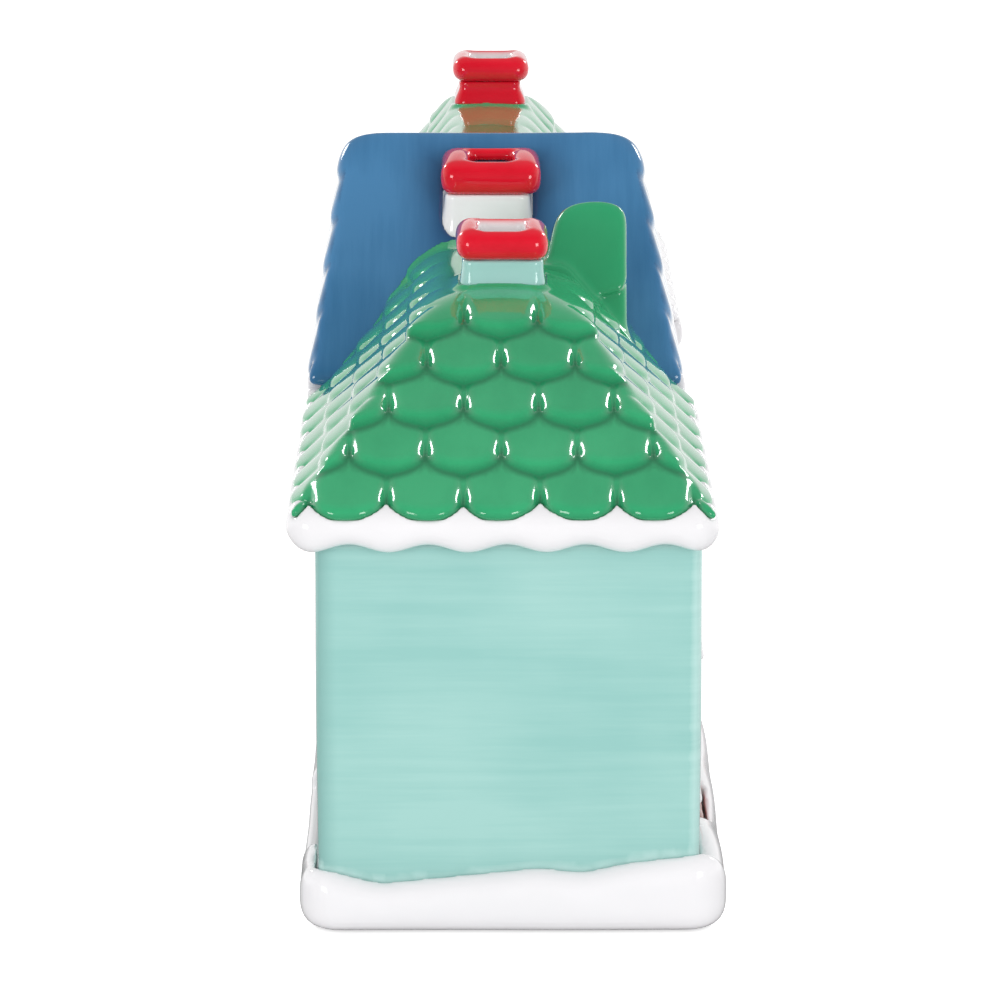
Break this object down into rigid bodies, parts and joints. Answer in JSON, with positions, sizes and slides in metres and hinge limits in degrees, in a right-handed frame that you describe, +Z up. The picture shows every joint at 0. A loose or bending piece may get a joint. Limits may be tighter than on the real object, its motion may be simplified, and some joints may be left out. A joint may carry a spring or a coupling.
{
  "type": "christmas village tealight holder",
  "caption": "Row of glazed ceramic houses with tiled roofs on a snow base, open at the back so that tealights stand inside and shine through the windows.",
  "frame": {"origin": "on the surface it stands on, under the middle of its bounding box", "axes": "+X along the row from the teal house to the red one, -Y out of the house fronts, +Y out of the open back, +Z up"},
  "size_m": [0.261, 0.082, 0.1358],
  "materials": {
    "snow_glaze": "high gloss white glaze",
    "teal_glaze": "high gloss brushed teal glaze",
    "white_glaze": "high gloss white glaze",
    "red_glaze": "high gloss red glaze",
    "green_glaze": "high gloss green glaze, pooled darker between the tiles",
    "blue_glaze": "high gloss brushed blue glaze",
    "brick_glaze": "gloss brick-brown glaze",
    "aluminium_cup": "drawn aluminium foil, satin",
    "candle_wax": "smooth candle wax",
    "wick_tab_steel": "tinned steel",
    "wick_cotton": "waxed cotton braid"
  },
  "bodies": {
    "root": {"snow_base": "snow_glaze", "walls_near": "teal_glaze", "walls_middle": "white_glaze", "walls_rear": "red_glaze", "snow_eaves_near": "snow_glaze", "snow_eaves_middle": "snow_glaze", "snow_eaves_rear": "snow_glaze", "roof_near": "green_glaze", "roof_middle": "blue_glaze", "roof_rear": "green_glaze", "chimney_stack_near": "teal_glaze", "chimney_stack_middle": "white_glaze", "chimney_stack_rear": "red_glaze", "chimney_cap_near": "red_glaze", "chimney_cap_middle": "red_glaze", "chimney_cap_rear": "red_glaze", "dormer_near": "green_glaze", "dormer_window_near": "white_glaze", "door_near": "red_glaze", "door_middle": "blue_glaze", "door_rear": "green_glaze", "door_step_near": "brick_glaze", "door_step_middle": "brick_glaze", "door_step_rear": "brick_glaze", "wreath_near": "green_glaze", "wreath_middle": "green_glaze", "wreath_rear": "green_glaze", "window_frame_near_lower_left": "white_glaze", "window_frame_near_lower_right": "white_glaze", "window_frame_near_upper_left": "white_glaze", "window_frame_near_upper_right": "white_glaze", "window_frame_middle_lower_left": "white_glaze", "window_frame_middle_lower_right": "white_glaze", "window_frame_middle_upper": "white_glaze", "window_frame_rear_lower": "white_glaze", "window_frame_rear_upper_left": "white_glaze", "window_frame_rear_upper_middle": "white_glaze", "window_frame_rear_upper_right": "white_glaze"},
    "tealight_near": {"tealight_cup_near": "aluminium_cup", "tealight_wax_near": "candle_wax", "wick_tab_near": "wick_tab_steel", "wick_near": "wick_cotton"},
    "tealight_middle": {"tealight_cup_middle": "aluminium_cup", "tealight_wax_middle": "candle_wax", "wick_tab_middle": "wick_tab_steel", "wick_middle": "wick_cotton"},
    "tealight_rear": {"tealight_cup_rear": "aluminium_cup", "tealight_wax_rear": "candle_wax", "wick_tab_rear": "wick_tab_steel", "wick_rear": "wick_cotton"}
  },
  "joints": [
    {"name": "tealight_slide_near", "type": "slide", "parent": "root", "child": "tealight_near", "axis": [0, 1, 0], "range_m": [0, 0.06]},
    {"name": "tealight_slide_middle", "type": "slide", "parent": "root", "child": "tealight_middle", "axis": [0, 1, 0], "range_m": [0, 0.06]},
    {"name": "tealight_slide_rear", "type": "slide", "parent": "root", "child": "tealight_rear", "axis": [0, 1, 0], "range_m": [0, 0.06]}
  ]
}
